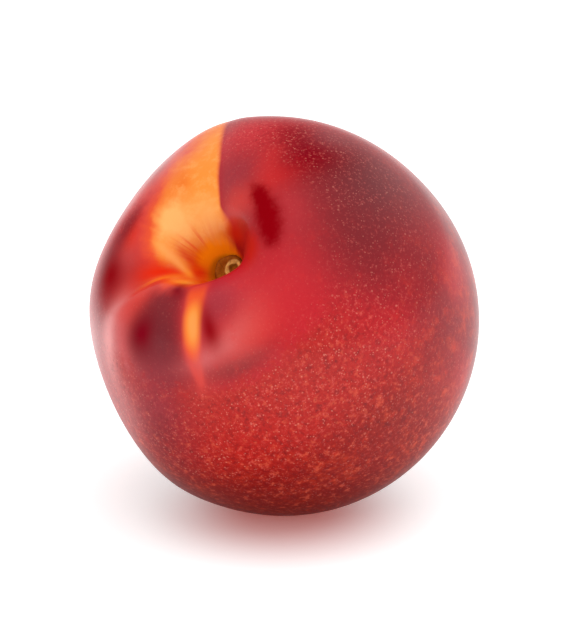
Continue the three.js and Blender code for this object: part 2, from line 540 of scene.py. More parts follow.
class Graph:
    """A node tree that is being filled."""

    def __init__(self, tree: bpy.types.NodeTree) -> None:
        """Start from an empty tree."""
        self.tree = tree
        tree.nodes.clear()

    @classmethod
    def of_material(cls, name: str) -> tuple[bpy.types.Material, "Graph"]:
        """Start a material.

        Args:
            name: The material's name.

        Returns:
            The material and its graph, which is still empty.
        """
        made = bpy.data.materials.new(name)
        made.use_nodes = True
        return made, cls(made.node_tree)

    def node(
        self,
        kind: Kind,
        settings: dict[str, object] | None = None,
        inputs: dict[str | int, object] | None = None,
    ) -> bpy.types.Node:
        """Add any node.

        Args:
            kind: The node's type.
            settings: Its own settings, set first.
            inputs: Numbers and colours to set, and Values and sockets to link, by the
                socket's name or number.

        Returns:
            The new node.
        """
        made = self.tree.nodes.new(kind.value)
        for name, value in (settings or {}).items():
            setattr(made, name, value)
        for name, value in (inputs or {}).items():
            source = value.socket if isinstance(value, Value) else value
            if isinstance(source, Socket):
                self.tree.links.new(source, made.inputs[name])
            else:
                made.inputs[name].default_value = source
        return made

    def math(self, operation: str, *values: Number) -> Value:
        """Add a Math node and give its result."""
        made = self.node(Kind.MATH, {"operation": operation}, dict(enumerate(values)))
        return Value(self, made.outputs[0])

    def step(self, value: Value, low: Number, high: Number) -> Value:
        """Step a value smoothly.

        Args:
            value: What is stepped.
            low: Where the step starts, at 0.
            high: Where the step ends, at 1.

        Returns:
            A number from 0 to 1.
        """
        made = self.node(
            Kind.RANGE,
            {"interpolation_type": "SMOOTHSTEP", "clamp": True},
            {"Value": value, "From Min": low, "From Max": high},
        )
        return Value(self, made.outputs[0])

    def blend(self, share: Value, under: object, over: object) -> Socket:
        """Lay one colour over another.

        Args:
            share: How much of the upper colour shows.
            under: The lower colour, or its socket.
            over: The upper colour, or its socket.

        Returns:
            The mixed colour's socket.
        """
        made = self.node(
            Kind.MIX,
            {"data_type": "RGBA", "blend_type": "MIX", "clamp_factor": True},
            {MIX_SHARE: share, MIX_UNDER: under, MIX_OVER: over},
        )
        return made.outputs[MIX_RESULT]

    def noise(self, place: object, scale: float, detail: float, rough: float) -> Value:
        """Add a noise.

        Args:
            place: Where to read the pattern.
            scale: Cells for each unit of place.
            detail: How many finer layers it has.
            rough: How strong each finer layer is against the one before it.

        Returns:
            A number that lies round a half.
        """
        made = self.node(
            Kind.NOISE,
            {"noise_dimensions": "3D"},
            {"Vector": place, "Scale": scale, "Detail": detail, "Roughness": rough},
        )
        return Value(self, made.outputs[0])

    def dots(self, place: object, scale: float, size: float) -> Value:
        """Scatter soft round dots.

        Args:
            place: Where to read the pattern.
            scale: Cells for each unit of place.
            size: The largest dot's radius, as a share of a cell.

        Returns:
            1 in a dot's middle, falling to 0 at its rim.
        """
        made = self.node(
            Kind.VORONOI, {"feature": "F1"}, {"Vector": place, "Scale": scale, "Randomness": 1.0}
        )
        red = Value(self, self.node(Kind.SEPARATE, inputs={0: made.outputs["Color"]}).outputs[0])
        reach = (red * red * red) * size + LEAST_DOT
        return 1 - Value(self, made.outputs["Distance"]).step(reach * DOT_CORE, reach)

    def vector(self, x: object, y: object, z: object) -> Socket:
        """Join three numbers into a vector."""
        return self.node(Kind.COMBINE, inputs={0: x, 1: y, 2: z}).outputs[0]

    def bump(self, height: Value, strength: float, distance: float) -> Socket:
        """Add a bump.

        Args:
            height: The unevenness that it follows.
            strength: How much of it shows.
            distance: How high it is, in millimetres.

        Returns:
            The bumped normal's socket.
        """
        inputs = {"Strength": strength, "Distance": distance * MM, "Height": height}
        return self.node(Kind.BUMP, inputs=inputs).outputs[0]

    def show(self, kind: Kind, shown_by: Kind, inputs: dict[str, object]) -> None:
        """Add a shader and let the output show it.

        Args:
            kind: The shader's type.
            shown_by: The output's type.
            inputs: What goes into the shader's sockets.
        """
        shader = self.node(kind, inputs=inputs)
        self.node(shown_by, inputs={"Surface": shader.outputs[0]})


@dataclass(frozen=True)
class Place:
    """Where a point of the skin is, as sockets, in the fruit's own frame."""

    graph: Graph
    point: Socket
    x: Value
    y: Value
    polar: Value
    height: Value

    @classmethod
    def on(cls, graph: Graph, rest: Rest) -> "Place":
        """Work out the place from Object coordinates.

        Args:
            graph: The material's graph.
            rest: Where the fruit lies in the row frame.

        Returns:
            The place, with lengths in millimetres and angles in degrees.
        """
        source = graph.node(Kind.COORDINATES).outputs["Object"]
        mapping = graph.node(
            Kind.MAPPING,
            {"vector_type": "TEXTURE"},
            {
                "Vector": source,
                "Location": rest.centre * MM,
                "Rotation": rest.attitude.to_euler("XYZ"),
                "Scale": (MM, MM, MM),
            },
        )
        point = mapping.outputs[0]
        parts = graph.node(Kind.SEPARATE, inputs={0: point}).outputs
        x, y, z = (Value(graph, part) for part in parts)
        polar = graph.math("ARCTAN2", length(x, y), z) * math.degrees(1)
        up = rest.attitude.inverted() @ Vector((0, 0, 1))
        height = x * up.x + y * up.y + z * up.z + rest.centre.z
        return cls(graph, point, x, y, polar, height)

    def turn_from_line(self, crease: Crease) -> Value:
        """Give the angle round the stem from a crease.

        Args:
            crease: The crease, whose line bends as it leaves the stem.

        Returns:
            The angle from its line, in degrees.
        """
        left = ((crease.start - self.polar) / crease.settle).at_most(0.0).apply("EXPONENT")
        bend = crease.turn - crease.last_turn
        return self.turn_from(crease.last_turn) - left * bend

    def turn_from(self, degrees: float) -> Value:
        """Give the angle round the stem from a meridian.

        Args:
            degrees: The meridian's turn.

        Returns:
            The angle, from -180 to 180 degrees.
        """
        cosine, sine = math.cos(math.radians(degrees)), math.sin(math.radians(degrees))
        along = self.x * cosine + self.y * sine
        across = self.y * cosine - self.x * sine
        return self.graph.math("ARCTAN2", across, along) * math.degrees(1)

    def apart(self, degrees: float) -> Value:
        """Give the angle round the stem from a meridian, never below zero."""
        return self.turn_from(degrees).apply("ABSOLUTE")

    def girth(self) -> Value:
        """Give the distance from the stem's axis, in millimetres and never zero."""
        return length(self.x, self.y).at_least(LEAST_GIRTH)

    def reach(self, middle: Vector) -> Value:
        """Give the distance from the line through middle that runs along the stem."""
        return length(self.x - middle.x, self.y - middle.y)

    def rays(self, around: float, outward: float) -> Socket:
        """Give coordinates in which a noise is drawn out along the meridians.

        Args:
            around: Cells for each radian round the stem.
            outward: Cells for each radian away from the stem.

        Returns:
            The coordinates' socket.
        """
        girth = self.girth()
        x, y = (part / girth * around for part in (self.x, self.y))
        return self.graph.vector(x, y, self.polar * DEGREE * outward)

    def spot(self, polar: float, turn: float, long: float, wide: float, lean: float = 0) -> Value:
        """Give a soft oval spot on the skin.

        Args:
            polar: Its middle's angle from the stem end, in degrees.
            turn: Its middle's angle round the stem, in degrees.
            long: Half its length in millimetres, along the meridian if lean is 0.
            wide: Half its width in millimetres.
            lean: How far its length is turned from the meridian, in degrees.

        Returns:
            1 in the middle, falling to 0.37 at the oval's edge.
        """
        girth = MEAN_RADIUS * math.sin(math.radians(polar))
        out = (self.polar - polar) * (MEAN_RADIUS * DEGREE)
        side = self.turn_from(turn) * (girth * DEGREE)
        cosine, sine = math.cos(math.radians(lean)), math.sin(math.radians(lean))
        first = (out * cosine + side * sine) / long
        second = (side * cosine - out * sine) / wide
        return (-(first * first + second * second)).apply("EXPONENT")


# ---- finishes


@dataclass(frozen=True)
class Stain:
    """A soft oval of another colour on the skin, or of more or less wax.

    The middle and the lean of its length from the meridian are in degrees, and its half
    length and half width in millimetres.
    """

    polar: float
    turn: float
    long: float
    wide: float
    share: float
    colour: Colour = (0.0, 0.0, 0.0, 1.0)
    lean: float = 0.0

    def on(self, place: Place) -> Value:
        """Give its share at every point of the skin."""
        spot = place.spot(self.polar, self.turn, self.long, self.wide, self.lean)
        return spot * self.share


@dataclass(frozen=True)
class Stretch:
    """A soft stretch of a ring round the stem, in degrees."""

    polar: float
    thickness: float
    turn: float
    spread: float

    def on(self, place: Place) -> Value:
        """Give 1 in its middle, falling to 0 all round."""
        across = place.polar.hump(self.polar, self.thickness)
        return across * place.turn_from(self.turn).hump(0, self.spread)


def strongest(stains: tuple[Stain, ...], place: Place) -> Value:
    """Join stains into one.

    Args:
        stains: The stains.
        place: The place on the skin.

    Returns:
        The largest share that any of them has there.
    """
    joined, *others = (stain.on(place) for stain in stains)
    for other in others:
        joined = joined.at_least(other)
    return joined


CRIMSON = (0.50, 0.006, 0.014, 1.0)
MAROON = (0.12, 0.002, 0.006, 1.0)
DEEP_RED = (0.24, 0.0, 0.003, 1.0)
BRIGHT_RED = (0.64, 0.012, 0.010, 1.0)
LOW_RED = (0.40, 0.010, 0.005, 1.0)
BROWN_RED = (0.24, 0.003, 0.001, 1.0)
# painted shade: the dark red that is laid on the skin near the table
TABLE_SHADE_RED = (0.07, 0.002, 0.001, 1.0)
DARK_GRAIN = (0.13, 0.002, 0.004, 1.0)
PALE_GRAIN = (0.80, 0.15, 0.12, 1.0)
RED_GRAIN = (0.70, 0.10, 0.05, 1.0)
PLUM = (0.10, 0.005, 0.010, 1.0)
ROSE = (0.60, 0.080, 0.080, 1.0)
# painted sheen: pale pink laid down the left rim, where the skin catches light
PINK_SHEEN = (0.78, 0.25, 0.24, 1.0)
# painted sheen: pale red laid along the pink ridge, where it catches light
RIDGE_SHEEN = (0.58, 0.075, 0.062, 1.0)
GARNET = (0.19, 0.001, 0.008, 1.0)
CORAL = (0.62, 0.040, 0.028, 1.0)
SCARLET = (0.50, 0.014, 0.004, 1.0)
MAUVE = (0.38, 0.026, 0.040, 1.0)
DUSK = (0.28, 0.014, 0.026, 1.0)
RUBY = (0.50, 0.018, 0.026, 1.0)
WINE = (0.24, 0.004, 0.009, 1.0)
EMBER = (0.68, 0.050, 0.001, 1.0)
SEPIA = (0.34, 0.065, 0.002, 1.0)
VERMILION = (0.70, 0.022, 0.004, 1.0)
ORANGE_RED = (0.76, 0.075, 0.012, 1.0)
TANGERINE = (0.80, 0.165, 0.006, 1.0)
ORANGE = (0.86, 0.25, 0.024, 1.0)
YELLOW = (0.93, 0.40, 0.11, 1.0)
AMBER = (0.95, 0.25, 0.003, 1.0)
SPECKLE = (0.76, 0.25, 0.18, 1.0)


@dataclass(frozen=True)
class Blush:
    """The red blush that the sun has brought out over most of the skin.

    Polar angles and turns are in degrees, heights in millimetres, and shares run from 0 to 1. Some
    of the stains are painted highlights and one is a painted shade, and the skin is painted darker
    towards the table as painted shade.
    """

    stains: tuple[Stain, ...] = (
        Stain(30, 240, 18, 16, 1, CRIMSON),
        Stain(55, 298, 17, 17, 0.95, MAROON),
        Stain(46, 272, 8, 9, 0.65, MAROON),
        Stain(46, 347, 9, 8, 1, RUBY),
        Stain(28, 292, 4, 5, 0.5, RUBY),
        Stain(33, 321, 6, 3.6, 1, BRIGHT_RED, lean=25),
        Stain(43, 319, 8, 4, 0.8, GARNET),
        Stain(50, 329, 5, 5, 0.5, GARNET),
        Stain(25.5, 341, 4.8, 3.4, 0.85, DUSK),
        Stain(18, 330, 3.5, 3.5, 0.7, CORAL),
        Stain(19, 210, 7, 8, 0.8, CRIMSON),
        Stain(16, 203, 3.5, 3.2, 0.7, MAUVE),
        Stain(19, 191, 3.5, 2.6, 0.7, MAUVE),
        Stain(28, 206, 5, 5, 0.7, BRIGHT_RED),
        Stain(30, 140, 10, 7.5, 1, PLUM),
        Stain(27, 152, 8, 3, 0.6, PLUM),
        # painted shade: a dark band just below the pink ridge
        Stain(35, 193, 2.2, 7, 0.7, MAROON),
        # painted highlight along the pink ridge
        Stain(29, 186, 6.5, 1.7, 0.7, ROSE, lean=112),
        Stain(43, 172, 4.5, 4, 0.6, CORAL),
        Stain(28, 79, 3.5, 3.5, 0.7, ROSE),
        Stain(40, 42, 9, 5, 0.9, BRIGHT_RED),
        Stain(28, 63, 3.5, 4, 0.9, VERMILION),
        Stain(21, 112, 5.5, 2.6, 0.95, CORAL),
        Stain(29, 112, 4, 4, 0.85, CORAL),
        # painted sheen: pale pink bands down the left side, where the skin catches light (this
        # stain and the next two)
        Stain(36, 127, 6, 2.6, 0.8, ROSE, lean=42),
        Stain(41, 119, 8, 2.3, 0.9, PINK_SHEEN, lean=42),
        Stain(50, 141, 8, 4, 0.6, ROSE),
        Stain(33.5, 60, 2.6, 6.5, 0.75, GARNET),
        Stain(37, 84, 2.5, 5, 0.8, GARNET),
        # painted sheen: the pink ridge's highlight drawn out further
        Stain(28, 203, 6.5, 3.2, 0.5, RIDGE_SHEEN, lean=112),
        Stain(18.5, 200, 3, 3.2, 0.55, DUSK),
    )
    low_stains: tuple[Stain, ...] = (
        Stain(47, 150, 10, 6, 0.85, DUSK),
        Stain(60, 152, 7, 6, 0.55, MAROON),
    )
    calm: tuple[Stain, ...] = (Stain(30, 140, 13, 10, 1), Stain(55, 298, 20, 18, 1))
    front_turn: float = 182.0
    front: Band = (38, 75)
    low_edge: Band = (37, 42)
    low_fray: float = 12.0
    low_share: float = 0.85
    brown: Band = (55, 78)
    blotch_mottle: float = 0.6
    blotch_patches: float = 0.5
    blotch_edge: Band = (0.52, 0.74)
    blotched: Band = (50, 95)
    blotch_share: float = 0.3
    bright_edge: Band = (0.5, 0.8)
    bright_share: float = 0.3
    # painted shade: the skin darkens towards the table over these heights
    shaded: Band = (1, 20)
    shade_share: float = 0.6

    def paint(self, skin: "SkinPaint") -> None:
        """Lay the blush on.

        Args:
            skin: The paint so far.
        """
        place, polar, mottle = skin.place, skin.polar, skin.mottle
        skin.stain(self.stains)
        front = place.apart(self.front_turn).drop(*self.front)
        lower = (polar + mottle.swing(self.low_fray)).step(*self.low_edge) * front
        skin.lay(lower * self.low_share, LOW_RED)
        skin.lay(lower * polar.step(*self.brown), BROWN_RED)
        skin.stain(self.low_stains)
        blotches = mottle * self.blotch_mottle + skin.patchy * self.blotch_patches
        blotches = blotches.step(*self.blotch_edge) * polar.step(*self.blotched)
        skin.lay(blotches * self.blotch_share, ORANGE_RED)
        calm = 1 - strongest(self.calm, place)
        skin.lay(mottle.step(*self.bright_edge) * calm * self.bright_share, BRIGHT_RED)
        # painted shade, darker towards the table
        skin.lay(place.height.drop(*self.shaded) * self.shade_share, TABLE_SHADE_RED)


@dataclass(frozen=True)
class Speckles:
    """The fine grain and the pale dots, where the gloss isn't taken away.

    Spots and grain are where their noise lies in a band, each with its share and colour.
    Each size of dot has its cells for each millimetre, its largest radius as a share of a
    cell, and its share.
    """

    front_turn: float = 182.0
    front: Band = (40, 90)
    lower: Band = (37, 44)
    open_skin: Band = (30, 44)
    least_open: float = 0.25
    least_busy: float = 0.55
    busy: Stain = Stain(46, 332, 9, 14, 1)
    quiet: Stain = Stain(47, 148, 11, 9, 0.45)
    spots: tuple[tuple[float, float, float, Colour], ...] = (
        (0.47, 0.3, 0.45, DARK_GRAIN),
        (0.54, 0.72, 0.4, RED_GRAIN),
    )
    dark_grain: Band = (0.48, 0.26)
    dark_share: float = 0.55
    pale_grain: Band = (0.52, 0.76)
    pale_share: float = 0.5
    paler: Band = (60, 80)
    paler_loss: float = 0.45
    dots: tuple[tuple[float, float, float], ...] = ((1.3, 0.34, 0.4), (2.4, 0.46, 0.45))
    # painted shade, darker towards the table, laid over the grain and dots
    shaded: Band = (1, 22)
    shade_share: float = 0.45

    def paint(self, skin: "SkinPaint") -> None:
        """Lay the grain and the dots on.

        Args:
            skin: The paint so far.
        """
        place, polar = skin.place, skin.polar
        open_skin = self.least_open + (1 - self.least_open) * polar.step(*self.open_skin)
        lower = polar.step(*self.lower) * place.apart(self.front_turn).drop(*self.front)
        busy = lower.at_least(self.busy.on(place))
        strength = open_skin * (1 - skin.dull) * (1 - self.quiet.on(place))
        strength = strength * (self.least_busy + (1 - self.least_busy) * busy)
        low_strength = strength * lower
        for start, full, share, colour in self.spots:
            skin.lay(skin.spots.step(start, full) * low_strength * share, colour)
        skin.lay(skin.grain.step(*self.dark_grain) * strength * self.dark_share, DARK_GRAIN)
        strength = strength * (1 - polar.step(*self.paler) * self.paler_loss)
        skin.lay(skin.grain.step(*self.pale_grain) * strength * self.pale_share, PALE_GRAIN)
        for scale, size, share in self.dots:
            dots = skin.graph.dots(place.point, scale, size)
            skin.lay(dots * strength * share, SPECKLE)
        # painted shade, laid again over the grain and dots near the table
        skin.lay(place.height.drop(*self.shaded) * self.shade_share, TABLE_SHADE_RED)


@dataclass(frozen=True)
class ShadedPatch:
    """The yellow patch that a leaf has shaded, up to the suture's sharp edge.

    Angles are in degrees. On one side it ends at the suture's line. On the other it ends
    at a frayed edge, which is farther from that line the nearer it is to the stem. Each
    fringe outside its core has where it starts and ends from that edge, how much wider it
    is near the stem, and its colour.
    """

    line_offset: float = -2.0
    line_shift: Band = (27, 35)
    line_width: float = 4.0
    inward: Band = (12, 19)
    inward_before: float = 24.0
    inward_after: float = 4.0
    foot: Band = (86, 104)
    edge_turn: float = 4.0
    edge_spread: float = 82.0
    edge_polar: float = 19.0
    edge_settle: float = 13.0
    streaky: Band = (20, 36)
    ray_fray: float = 5.0
    streaky_fray: float = 14.0
    patch_fray: float = 22.0
    mottle_fray: float = 10.0
    fringes: tuple[tuple[float, float, float, Colour], ...] = (
        (8, 24, 22, CORAL),
        (-2, 14, 12, ORANGE_RED),
    )
    core: Band = (-16, 7)
    deeper: tuple[Stain, ...] = (Stain(31.5, 22, 4.5, 2.6, 1), Stain(27, 31, 3.2, 2.8, 1))
    deeper_mottle: float = 1.6
    flecks: Band = (0.45, 0.7)
    fleck_share: float = 0.3
    pale: Stain = Stain(20.5, 39, 3.8, 4.0, 1.2)
    pale_mottle: float = 1.0
    # painted light: a paler spot that lifts the shade at the hollow's edge
    corner: Stain = Stain(17, 6, 3.0, 2.6, 0.7)
    rays: Stretch = Stretch(12.5, 3.2, 50, 36)
    ray_edge: Band = (0.42, 0.66)
    ray_share: float = 0.75
    glow: Stretch = Stretch(9.5, 3.2, 58, 34)
    ridge: Stretch = Stretch(16, 5, 104, 4.5)
    ridge_edge: Band = (0.3, 0.5)

    def paint(self, skin: "SkinPaint", suture: Crease) -> None:
        """Lay the patch on.

        Args:
            skin: The paint so far.
            suture: The crease that the patch ends at.
        """
        place, polar, mottle = skin.place, skin.polar, skin.mottle
        turn = place.turn_from_line(suture)
        inward = polar.drop(*self.inward)
        start = polar.drop(*self.line_shift) + self.line_offset
        end = start + self.line_width + inward * self.inward_after
        past_line = turn.step(start - inward * self.inward_before, end)
        past_line = past_line * polar.drop(*self.foot)
        spread = ((self.edge_polar - polar) / self.edge_settle).apply("EXPONENT")
        edge = self.edge_turn + self.edge_spread * spread
        streaky = polar.drop(*self.streaky)
        frayed = skin.rays.swing(self.ray_fray + streaky * self.streaky_fray)
        frayed = frayed + skin.patchy.swing(self.patch_fray)
        beyond = turn - edge + frayed + mottle.swing(self.mottle_fray)
        for near, far, wider, colour in self.fringes:
            skin.lay(past_line * beyond.drop(near, far + streaky * wider), colour)
        core = past_line * beyond.drop(*self.core)
        skin.lay(core, ORANGE)
        deeper = strongest(self.deeper, place) * (self.deeper_mottle - mottle)
        skin.lay(deeper.at_most(1.0) * core, TANGERINE)
        skin.lay(core * mottle.step(*self.flecks) * self.fleck_share, YELLOW)
        pale = self.pale.on(place) + mottle.swing(self.pale_mottle)
        skin.lay(pale.at_most(1.0) * core, YELLOW)
        # painted light against the hollow's shade at the patch's corner
        skin.lay(self.corner.on(place) * core, YELLOW)
        rays = self.rays.on(place) * skin.streaks.step(*self.ray_edge)
        skin.lay(rays * past_line * self.ray_share, ORANGE_RED)
        skin.lay(self.glow.on(place) * past_line, EMBER)
        ridge = self.ridge.on(place) * skin.fine_rays.step(*self.ridge_edge)
        skin.lay(ridge, ORANGE)


@dataclass(frozen=True)
class Streak:
    """The orange streak that runs down its crease, in degrees and millimetres."""

    turn_length: float = 0.6
    offset: float = 0.9
    upper_bend: Band = (14, 22)
    upper_shift: float = 0.3
    lower_bend: Band = (29, 39)
    width: float = 1.9
    narrowed: Band = (26, 38)
    narrowing: float = 0.8
    start: Band = (8.5, 12)
    fringe_end: Band = (33, 43)
    fringe_edge: Band = (0.0, 0.75)
    fringe_share: float = 0.9
    warm_start: Band = (10, 14)
    warm_end: Band = (26, 36)
    warm_edge: Band = (0.25, 0.8)
    core_start: Band = (10, 20)
    core_end: Band = (22, 34)
    core_edge: Band = (0.25, 0.95)
    pale_edge: Band = (0.7, 1.0)
    pale_share: float = 0.25

    def paint(self, skin: "SkinPaint", crease: Crease) -> None:
        """Lay the streak on.

        Args:
            skin: The paint so far.
            crease: The crease that the streak runs down.
        """
        polar = skin.polar
        turn_length = (polar * DEGREE).apply("SINE") * self.turn_length
        shift = self.offset - self.upper_shift * polar.step(*self.upper_bend)
        shift = shift + polar.step(*self.lower_bend)
        side = skin.place.turn_from_line(crease) * turn_length - shift
        width = self.width - self.narrowing * polar.step(*self.narrowed)
        streak = side.hump(0, width) * polar.step(*self.start)
        fringe = streak * polar.drop(*self.fringe_end)
        skin.lay(fringe.step(*self.fringe_edge) * self.fringe_share, CORAL)
        warm = streak * polar.drop(*self.warm_end)
        skin.lay(warm.step(*self.warm_edge) * polar.step(*self.warm_start), ORANGE_RED)
        core = streak * polar.drop(*self.core_end) * polar.step(*self.core_start)
        skin.lay(core.step(*self.core_edge), ORANGE)
        skin.lay(core.step(*self.pale_edge) * self.pale_share, YELLOW)


@dataclass(frozen=True)
class Floor:
    """The hollow's floor, which the sun hasn't reached, in degrees."""

    reach: float = 7.0
    lean: float = 4.0
    lean_turn: float = 25.0
    fray: float = 3.0
    edge: Band = (-1.8, 1.6)
    glow: Band = (8, 10.5)
    glow_share: float = 0.9
    seam: Stain = Stain(9.0, 90, 1.6, 2.2, 0.9, VERMILION)
    socket: Band = (6.4, 8.0)
    socket_share: float = 0.6

    def paint(self, skin: "SkinPaint") -> None:
        """Lay the floor's colours on.

        Args:
            skin: The paint so far.
        """
        place, aside = skin.place, math.radians(self.lean_turn)
        lean = (place.x * math.cos(aside) + place.y * math.sin(aside)) / place.girth()
        inside = self.reach + lean * self.lean - skin.polar + skin.rays.swing(self.fray)
        skin.lay(skin.polar.drop(*self.glow) * self.glow_share, EMBER)
        skin.lay(inside.step(*self.edge), AMBER)
        skin.stain((self.seam,))
        skin.lay(skin.polar.drop(*self.socket) * self.socket_share, SEPIA)


@dataclass(frozen=True)
class Tongue:
    """The patch's tongue, which curls in towards the stalk, in degrees and millimetres."""

    turn: float = 60.0
    curl: float = 48.0
    curl_polar: float = 9.8
    curl_settle: float = 4.3
    width: float = 0.85
    start: Band = (9.0, 10.8)
    end: Band = (17, 22)
    share: float = 0.9
    pale: Band = (10, 14)
    pale_share: float = 0.5
    inner_side: float = -2.0
    inner_width: float = 0.8
    inner_start: Band = (8.5, 10.5)
    inner_end: Band = (13, 17)
    inner_share: float = 0.7
    tip: Stain = Stain(11, 114, 1.8, 1.2, 0.6, ORANGE_RED)

    def paint(self, skin: "SkinPaint") -> None:
        """Lay the tongue on, and a glowing stripe on its inner side.

        Args:
            skin: The paint so far.
        """
        place, polar = skin.place, skin.polar
        curl = ((self.curl_polar - polar) / self.curl_settle).apply("EXPONENT") * self.curl
        side = (place.turn_from(self.turn) - curl) * place.girth() * DEGREE
        inner = side.hump(self.inner_side, self.inner_width) * polar.step(*self.inner_start)
        skin.lay(inner * polar.drop(*self.inner_end) * self.inner_share, EMBER)
        skin.stain((self.tip,))
        tongue = side.hump(0, self.width) * polar.step(*self.start) * polar.drop(*self.end)
        skin.lay(tongue * self.share, ORANGE)
        skin.lay(tongue * polar.step(*self.pale) * self.pale_share, YELLOW)


@dataclass(frozen=True)
class RimArc:
    """The dark arc along the far rim of the hollow: a painted dark reflection, where the gloss is
    taken away and a deep red laid.

    Angles are in degrees, and the arc's ends and its swell count from the far turn.
    """

    far_turn: float = 275.0
    polar: float = 20.6
    droop: float = 0.0015
    near_end: Band = (-20, 2)
    far_end: Band = (36, 58)
    offset: float = 0.5
    width: float = 2.6
    swell: float = 1.9
    swell_turn: float = 17.0
    swell_spread: float = 18.0
    fine_fray: float = 0.7
    coarse_fray: float = 0.5
    edge: Band = (0.05, 0.95)

    def on(self, skin: "SkinPaint") -> Value:
        """Trace the arc.

        Args:
            skin: The paint so far.

        Returns:
            1 in the arc and 0 outside it.
        """
        turn = skin.place.turn_from(self.far_turn)
        line = self.polar + turn.at_least(0.0) ** 2.0 * self.droop
        ends = turn.step(*self.near_end) * turn.drop(*self.far_end)
        width = self.width + turn.hump(self.swell_turn, self.swell_spread) * self.swell
        arc = (skin.polar - line).hump(self.offset, width) * ends
        frayed = skin.grain.swing(self.fine_fray) + skin.mottle.swing(self.coarse_fray)
        return (arc + frayed).step(*self.edge)


@dataclass(frozen=True)
class Wax:
    """The wax on the skin: how strongly it shines, and where its gloss is taken away.

    The stains add to the gloss or take from it, to match bright and dark reflections: painted
    reflections in the gloss. Each dull spot takes the gloss away and lays a deep colour on the
    skin; some of them are painted dark reflections and one is a painted shadow line. Angles are in
    degrees and heights in millimetres.
    """

    # painted reflections in the gloss: each stain raises or lowers the wax's weight to match
    # bright and dark reflections on the skin
    stains: tuple[Stain, ...] = (
        Stain(29, 186, 6.5, 1.7, 0.5, lean=112),
        Stain(27.5, 193, 1.8, 1, 0.5, lean=112),
        Stain(43, 119, 12, 4, 0.45, lean=42),
        Stain(47, 106, 7, 4.5, 0.35),
        Stain(34, 140, 6, 6, -0.15),
        Stain(24, 112, 5, 4, -0.2),
        Stain(33, 60, 5, 6, -0.35),
        Stain(66, 176, 16, 17, -0.28),
        Stain(50, 338, 9, 14, -0.3),
        Stain(49, 330, 5, 6, -0.15),
        Stain(43, 25, 5, 5, 0.4),
        Stain(41, 46, 4, 4, 0.25),
        Stain(58, 137, 9, 4, 0.3),
        Stain(54, 320, 4, 4, 0.3),
        Stain(28, 203, 6.5, 3.5, 0.12, lean=112),
        Stain(43, 313, 8, 4.5, -0.35),
        Stain(58, 293, 9, 9, 0.35),
    )
    # spots where the gloss is taken away and a deep colour laid; those marked below as painted are
    # shade and dark reflections
    dull_spots: tuple[Stain, ...] = (
        Stain(17, 94, 5.8, 2.2, 1, VERMILION),
        Stain(23, 186, 3.6, 1.5, 0.9, DEEP_RED),
        # painted shadow: a thin dark line under the ridge at the hollow's edge
        Stain(12.5, 148, 1.3, 1.6, 0.9, GARNET),
        # painted dark reflections: deep red with no gloss, where the skin mirrors a dark part of
        # the room (this spot and the next)
        Stain(28, 136, 3.4, 2.6, 1, GARNET),
        Stain(33.8, 87, 4.2, 4.4, 1, DEEP_RED),
        Stain(12.5, 321, 1.3, 3.6, 0.95, SCARLET),
        Stain(15, 270, 1.3, 3.6, 0.8, SCARLET),
    )
    rim: RimArc = RimArc()
    hollow: Band = (10, 15.5)
    steep_spread: float = 35.0
    steep_shift: float = 4.5
    shine: float = 0.45
    low_shine: float = 0.40
    low: Band = (45, 70)
    # painted shade in the gloss: the wax shines less towards the table, over these heights
    lit: Band = (2.0, 32.0)
    roughness: float = 0.2
    ior: float = 1.55

    def dulled(self, skin: "SkinPaint") -> Value:
        """Find where the gloss is taken away: inside the hollow and in every dull spot.

        Args:
            skin: The paint so far, with its dull spots.

        Returns:
            1 where the gloss is gone, and 0 where it is whole.
        """
        steep = skin.place.turn_from(self.rim.far_turn).hump(0, self.steep_spread)
        dulled = (skin.polar - steep * self.steep_shift).drop(*self.hollow)
        for share, _ in skin.dull_spots:
            dulled = dulled.at_least(share)
        return dulled

    def gloss(self, skin: "SkinPaint") -> Value:
        """Find how strongly the wax shines.

        Args:
            skin: The finished paint.

        Returns:
            The wax's weight, from 0 to 1.
        """
        coat = self.shine - skin.polar.step(*self.low) * (self.shine - self.low_shine)
        for stain in self.stains:
            coat = coat + stain.on(skin.place)
        return (1 - skin.dull) * coat.at_most(1.0) * skin.place.height.step(*self.lit)


@dataclass(frozen=True)
class SkinFinish:
    """The waxy skin: red over an orange ground, streaks, speckles and gloss.

    The pores have their cells for each millimetre and their depth in millimetres.
    """

    rest: Rest
    suture: Crease
    front_crease: Crease
    blush: Blush = Blush()
    speckles: Speckles = Speckles()
    patch: ShadedPatch = ShadedPatch()
    streak: Streak = Streak()
    floor: Floor = Floor()
    tongue: Tongue = Tongue()
    wax: Wax = Wax()
    roughness: float = 0.3
    flesh_ior: float = 1.05
    pore_scale: float = 2.2
    pore_depth: float = 0.15
    pore_strength: float = 0.05

    def material(self) -> bpy.types.Material:
        """Make the skin's material.

        Returns:
            The material.
        """
        made, graph = Graph.of_material("nectarine_skin")
        skin = SkinPaint(graph, self.rest, self.wax)
        self.blush.paint(skin)
        self.speckles.paint(skin)
        self.patch.paint(skin, self.suture)
        self.streak.paint(skin, self.front_crease)
        # lay the dull spots' colours, among them the painted shadow line and painted dark
        # reflections
        for share, colour in skin.dull_spots:
            skin.lay(share, colour)
        self.floor.paint(skin)
        self.tongue.paint(skin)
        pores = graph.noise(skin.place.point, self.pore_scale, 3.0, 0.6)
        inputs = {
            "Base Color": skin.shade,
            "Roughness": self.roughness,
            "IOR": self.flesh_ior,
            "Coat Weight": self.wax.gloss(skin),
            "Coat Roughness": self.wax.roughness,
            "Coat IOR": self.wax.ior,
            "Normal": graph.bump(pores, self.pore_strength, self.pore_depth),
        }
        graph.show(Kind.SHADER, Kind.OUTPUT, inputs)
        return made


